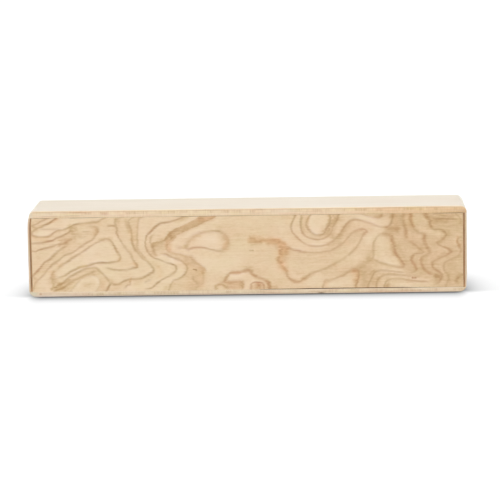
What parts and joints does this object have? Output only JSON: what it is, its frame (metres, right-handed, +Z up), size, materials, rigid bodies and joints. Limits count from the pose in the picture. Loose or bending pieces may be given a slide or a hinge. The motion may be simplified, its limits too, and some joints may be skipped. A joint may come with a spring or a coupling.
{
  "type": "oblong box shaker",
  "caption": "Oblong wooden box shaker with a figured front panel let in between pale plywood boards, and loose steel shot inside that strikes the panels when shaken.",
  "frame": {"origin": "middle of the underside, on the surface the box rests on", "axes": "+Z up, +X along the length of the box, -Y out of the figured front panel"},
  "size_m": [0.25, 0.0494, 0.0495],
  "materials": {
    "plywood": "pale plywood, sanded, matt clear finish",
    "figured_front": "figured ash veneer, matt clear finish",
    "figured_back": "ash veneer, matt clear finish",
    "shot": "bare steel, slightly worn"
  },
  "bodies": {
    "shell": {"top_board": "plywood", "bottom_board": "plywood", "left_end_board": "plywood", "right_end_board": "plywood", "front_panel": "figured_front", "back_panel": "figured_back"},
    "shot_01": {"shot_01": "shot"},
    "shot_02": {"shot_02": "shot"},
    "shot_03": {"shot_03": "shot"},
    "shot_04": {"shot_04": "shot"},
    "shot_05": {"shot_05": "shot"},
    "shot_06": {"shot_06": "shot"},
    "shot_07": {"shot_07": "shot"},
    "shot_08": {"shot_08": "shot"},
    "shot_09": {"shot_09": "shot"},
    "shot_10": {"shot_10": "shot"},
    "shot_11": {"shot_11": "shot"},
    "shot_12": {"shot_12": "shot"},
    "shot_13": {"shot_13": "shot"},
    "shot_14": {"shot_14": "shot"},
    "shot_15": {"shot_15": "shot"},
    "shot_16": {"shot_16": "shot"},
    "shot_17": {"shot_17": "shot"},
    "shot_18": {"shot_18": "shot"},
    "shot_19": {"shot_19": "shot"},
    "shot_20": {"shot_20": "shot"},
    "shot_21": {"shot_21": "shot"},
    "shot_22": {"shot_22": "shot"},
    "shot_23": {"shot_23": "shot"},
    "shot_24": {"shot_24": "shot"},
    "shot_25": {"shot_25": "shot"},
    "shot_26": {"shot_26": "shot"},
    "shot_27": {"shot_27": "shot"},
    "shot_28": {"shot_28": "shot"},
    "shot_29": {"shot_29": "shot"},
    "shot_30": {"shot_30": "shot"},
    "shot_31": {"shot_31": "shot"},
    "shot_32": {"shot_32": "shot"},
    "shot_33": {"shot_33": "shot"},
    "shot_34": {"shot_34": "shot"},
    "shot_35": {"shot_35": "shot"},
    "shot_36": {"shot_36": "shot"},
    "shot_37": {"shot_37": "shot"},
    "shot_38": {"shot_38": "shot"},
    "shot_39": {"shot_39": "shot"},
    "shot_40": {"shot_40": "shot"},
    "shot_41": {"shot_41": "shot"},
    "shot_42": {"shot_42": "shot"},
    "shot_43": {"shot_43": "shot"},
    "shot_44": {"shot_44": "shot"},
    "shot_45": {"shot_45": "shot"},
    "shot_46": {"shot_46": "shot"},
    "shot_47": {"shot_47": "shot"},
    "shot_48": {"shot_48": "shot"}
  },
  "joints": [
    {"name": "shot_01_travel", "type": "slide", "parent": "shell", "child": "shot_01", "axis": [0, 1, 0], "range_m": [-0.0136, 0.0255]},
    {"name": "shot_02_travel", "type": "slide", "parent": "shell", "child": "shot_02", "axis": [0, 1, 0], "range_m": [-0.03295, 0.00615]},
    {"name": "shot_03_travel", "type": "slide", "parent": "shell", "child": "shot_03", "axis": [0, 1, 0], "range_m": [-0.02099, 0.01811]},
    {"name": "shot_04_travel", "type": "slide", "parent": "shell", "child": "shot_04", "axis": [0, 1, 0], "range_m": [-0.00904, 0.03006]},
    {"name": "shot_05_travel", "type": "slide", "parent": "shell", "child": "shot_05", "axis": [0, 1, 0], "range_m": [-0.02838, 0.01072]},
    {"name": "shot_06_travel", "type": "slide", "parent": "shell", "child": "shot_06", "axis": [0, 1, 0], "range_m": [-0.01643, 0.02267]},
    {"name": "shot_07_travel", "type": "slide", "parent": "shell", "child": "shot_07", "axis": [0, 1, 0], "range_m": [-0.00447, 0.03463]},
    {"name": "shot_08_travel", "type": "slide", "parent": "shell", "child": "shot_08", "axis": [0, 1, 0], "range_m": [-0.02381, 0.01529]},
    {"name": "shot_09_travel", "type": "slide", "parent": "shell", "child": "shot_09", "axis": [0, 1, 0], "range_m": [-0.01186, 0.02724]},
    {"name": "shot_10_travel", "type": "slide", "parent": "shell", "child": "shot_10", "axis": [0, 1, 0], "range_m": [-0.0312, 0.0079]},
    {"name": "shot_11_travel", "type": "slide", "parent": "shell", "child": "shot_11", "axis": [0, 1, 0], "range_m": [-0.01925, 0.01985]},
    {"name": "shot_12_travel", "type": "slide", "parent": "shell", "child": "shot_12", "axis": [0, 1, 0], "range_m": [-0.00729, 0.03181]},
    {"name": "shot_13_travel", "type": "slide", "parent": "shell", "child": "shot_13", "axis": [0, 1, 0], "range_m": [-0.02664, 0.01246]},
    {"name": "shot_14_travel", "type": "slide", "parent": "shell", "child": "shot_14", "axis": [0, 1, 0], "range_m": [-0.01468, 0.02442]},
    {"name": "shot_15_travel", "type": "slide", "parent": "shell", "child": "shot_15", "axis": [0, 1, 0], "range_m": [-0.03403, 0.00507]},
    {"name": "shot_16_travel", "type": "slide", "parent": "shell", "child": "shot_16", "axis": [0, 1, 0], "range_m": [-0.02207, 0.01703]},
    {"name": "shot_17_travel", "type": "slide", "parent": "shell", "child": "shot_17", "axis": [0, 1, 0], "range_m": [-0.01011, 0.02899]},
    {"name": "shot_18_travel", "type": "slide", "parent": "shell", "child": "shot_18", "axis": [0, 1, 0], "range_m": [-0.02946, 0.00964]},
    {"name": "shot_19_travel", "type": "slide", "parent": "shell", "child": "shot_19", "axis": [0, 1, 0], "range_m": [-0.0175, 0.0216]},
    {"name": "shot_20_travel", "type": "slide", "parent": "shell", "child": "shot_20", "axis": [0, 1, 0], "range_m": [-0.00555, 0.03355]},
    {"name": "shot_21_travel", "type": "slide", "parent": "shell", "child": "shot_21", "axis": [0, 1, 0], "range_m": [-0.02489, 0.01421]},
    {"name": "shot_22_travel", "type": "slide", "parent": "shell", "child": "shot_22", "axis": [0, 1, 0], "range_m": [-0.01294, 0.02616]},
    {"name": "shot_23_travel", "type": "slide", "parent": "shell", "child": "shot_23", "axis": [0, 1, 0], "range_m": [-0.03228, 0.00682]},
    {"name": "shot_24_travel", "type": "slide", "parent": "shell", "child": "shot_24", "axis": [0, 1, 0], "range_m": [-0.02033, 0.01877]},
    {"name": "shot_25_travel", "type": "slide", "parent": "shell", "child": "shot_25", "axis": [0, 1, 0], "range_m": [-0.00837, 0.03073]},
    {"name": "shot_26_travel", "type": "slide", "parent": "shell", "child": "shot_26", "axis": [0, 1, 0], "range_m": [-0.02771, 0.01139]},
    {"name": "shot_27_travel", "type": "slide", "parent": "shell", "child": "shot_27", "axis": [0, 1, 0], "range_m": [-0.01576, 0.02334]},
    {"name": "shot_28_travel", "type": "slide", "parent": "shell", "child": "shot_28", "axis": [0, 1, 0], "range_m": [-0.0351, 0.004]},
    {"name": "shot_29_travel", "type": "slide", "parent": "shell", "child": "shot_29", "axis": [0, 1, 0], "range_m": [-0.02315, 0.01595]},
    {"name": "shot_30_travel", "type": "slide", "parent": "shell", "child": "shot_30", "axis": [0, 1, 0], "range_m": [-0.01119, 0.02791]},
    {"name": "shot_31_travel", "type": "slide", "parent": "shell", "child": "shot_31", "axis": [0, 1, 0], "range_m": [-0.03054, 0.00856]},
    {"name": "shot_32_travel", "type": "slide", "parent": "shell", "child": "shot_32", "axis": [0, 1, 0], "range_m": [-0.01858, 0.02052]},
    {"name": "shot_33_travel", "type": "slide", "parent": "shell", "child": "shot_33", "axis": [0, 1, 0], "range_m": [-0.00663, 0.03247]},
    {"name": "shot_34_travel", "type": "slide", "parent": "shell", "child": "shot_34", "axis": [0, 1, 0], "range_m": [-0.02597, 0.01313]},
    {"name": "shot_35_travel", "type": "slide", "parent": "shell", "child": "shot_35", "axis": [0, 1, 0], "range_m": [-0.01401, 0.02509]},
    {"name": "shot_36_travel", "type": "slide", "parent": "shell", "child": "shot_36", "axis": [0, 1, 0], "range_m": [-0.03336, 0.00574]},
    {"name": "shot_37_travel", "type": "slide", "parent": "shell", "child": "shot_37", "axis": [0, 1, 0], "range_m": [-0.0214, 0.0177]},
    {"name": "shot_38_travel", "type": "slide", "parent": "shell", "child": "shot_38", "axis": [0, 1, 0], "range_m": [-0.00945, 0.02965]},
    {"name": "shot_39_travel", "type": "slide", "parent": "shell", "child": "shot_39", "axis": [0, 1, 0], "range_m": [-0.02879, 0.01031]},
    {"name": "shot_40_travel", "type": "slide", "parent": "shell", "child": "shot_40", "axis": [0, 1, 0], "range_m": [-0.01684, 0.02226]},
    {"name": "shot_41_travel", "type": "slide", "parent": "shell", "child": "shot_41", "axis": [0, 1, 0], "range_m": [-0.00488, 0.03422]},
    {"name": "shot_42_travel", "type": "slide", "parent": "shell", "child": "shot_42", "axis": [0, 1, 0], "range_m": [-0.02423, 0.01487]},
    {"name": "shot_43_travel", "type": "slide", "parent": "shell", "child": "shot_43", "axis": [0, 1, 0], "range_m": [-0.01227, 0.02683]},
    {"name": "shot_44_travel", "type": "slide", "parent": "shell", "child": "shot_44", "axis": [0, 1, 0], "range_m": [-0.03161, 0.00749]},
    {"name": "shot_45_travel", "type": "slide", "parent": "shell", "child": "shot_45", "axis": [0, 1, 0], "range_m": [-0.01966, 0.01944]},
    {"name": "shot_46_travel", "type": "slide", "parent": "shell", "child": "shot_46", "axis": [0, 1, 0], "range_m": [-0.0077, 0.0314]},
    {"name": "shot_47_travel", "type": "slide", "parent": "shell", "child": "shot_47", "axis": [0, 1, 0], "range_m": [-0.02705, 0.01205]},
    {"name": "shot_48_travel", "type": "slide", "parent": "shell", "child": "shot_48", "axis": [0, 1, 0], "range_m": [-0.01509, 0.02401]}
  ]
}
